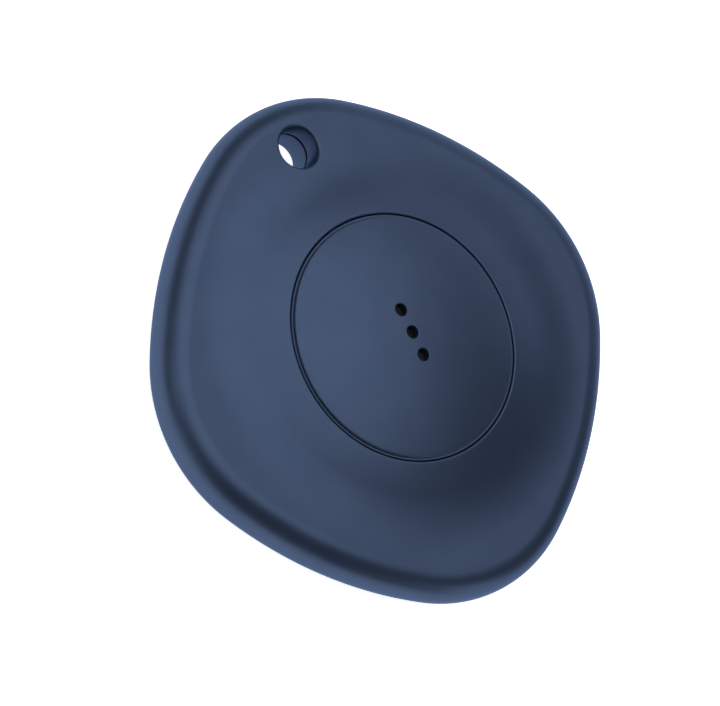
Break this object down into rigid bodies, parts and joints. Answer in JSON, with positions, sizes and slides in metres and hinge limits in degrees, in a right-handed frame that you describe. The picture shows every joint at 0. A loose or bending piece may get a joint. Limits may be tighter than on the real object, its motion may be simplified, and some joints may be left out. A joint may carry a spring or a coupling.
{
  "type": "bluetooth tracker tag",
  "caption": "Rounded-square blue plastic finder tag with a domed face, a round push button with sound holes, a lanyard hole in one corner and a coin cell inside.",
  "frame": {"origin": "middle of the flat foot of the rear shell, lowest point of the part", "axes": "+Z out of the front face with the button, +Y towards the lanyard hole"},
  "size_m": [0.0422, 0.0422, 0.0096],
  "materials": {
    "case_plastic": "fine-grained matt blue moulding",
    "button_plastic": "fine-grained matt blue moulding",
    "seal_rubber": "black silicone",
    "ring_rubber": "translucent grey silicone",
    "pad_foam": "black foam",
    "cell_steel": "satin stainless",
    "cell_cap_steel": "satin stainless",
    "gasket_plastic": "grey polypropylene",
    "cathode_mix": "pressed black powder",
    "separator_cloth": "white non-woven",
    "lithium": "dull silver foil",
    "board_laminate": "green solder mask",
    "screw_steel": "nickel plated",
    "contact_gold": "gold-plated spring bronze",
    "chip_epoxy": "black moulded epoxy",
    "crystal_can": "plated lid",
    "antenna_ceramic": "white ceramic",
    "ferrite": "dark grey ferrite",
    "capacitor_ceramic": "tan ceramic",
    "resistor_film": "black film on white ceramic",
    "switch_plastic": "black heat-proof plastic",
    "plunger_plastic": "amber plastic",
    "dome_steel": "bright spring steel",
    "mesh_cloth": "black woven mesh",
    "buzzer_brass": "rolled brass",
    "buzzer_ceramic": "silvered ceramic",
    "carrier_plastic": "grey moulding"
  },
  "bodies": {
    "rear_case": {"rear_shell": "case_plastic", "case_seal": "seal_rubber", "cell_pad": "pad_foam"},
    "front_case": {"front_shell": "case_plastic", "circuit_board": "board_laminate", "board_screws": "screw_steel", "positive_contact": "contact_gold", "negative_contact": "contact_gold", "switch_body": "switch_plastic", "switch_dome": "dome_steel", "bluetooth_chip": "chip_epoxy", "buzzer_driver_chip": "chip_epoxy", "boost_inductor": "ferrite", "chip_antenna": "antenna_ceramic", "crystals": "crystal_can", "capacitors": "capacitor_ceramic", "resistors": "resistor_film", "piezo_springs": "contact_gold", "button_return_ring": "ring_rubber"},
    "coin_cell": {"cell_can": "cell_steel", "cell_cap": "cell_cap_steel", "cell_gasket": "gasket_plastic", "cell_cathode": "cathode_mix", "cell_separator": "separator_cloth", "cell_anode": "lithium"},
    "button": {"button_cap": "button_plastic", "acoustic_mesh": "mesh_cloth", "piezo_plate": "buzzer_brass", "piezo_ceramic": "buzzer_ceramic", "piezo_carrier": "carrier_plastic"},
    "switch_key": {"switch_plunger": "plunger_plastic"}
  },
  "joints": [
    {"name": "case_open", "type": "slide", "parent": "rear_case", "child": "front_case", "axis": [0, 0, 1], "range_m": [0, 0.014]},
    {"name": "coin_cell_lift", "type": "slide", "parent": "rear_case", "child": "coin_cell", "axis": [0, 0, 1], "range_m": [0, 0.007]},
    {"name": "button_press", "type": "slide", "parent": "front_case", "child": "button", "axis": [0, 0, -1], "range_m": [0, 0.00025], "stiffness_N_per_m": 5000, "springref_m": -0.0001, "deforming": ["button_return_ring", "piezo_springs"]},
    {"name": "switch_press", "type": "slide", "parent": "front_case", "child": "switch_key", "axis": [0, 0, -1], "range_m": [0, 0.00025], "deforming": ["switch_dome"]}
  ],
  "couplings": [
    {"joint": "coin_cell_lift", "follows": "case_open", "ratio": 0.5},
    {"joint": "switch_press", "follows": "button_press", "ratio": 1}
  ]
}
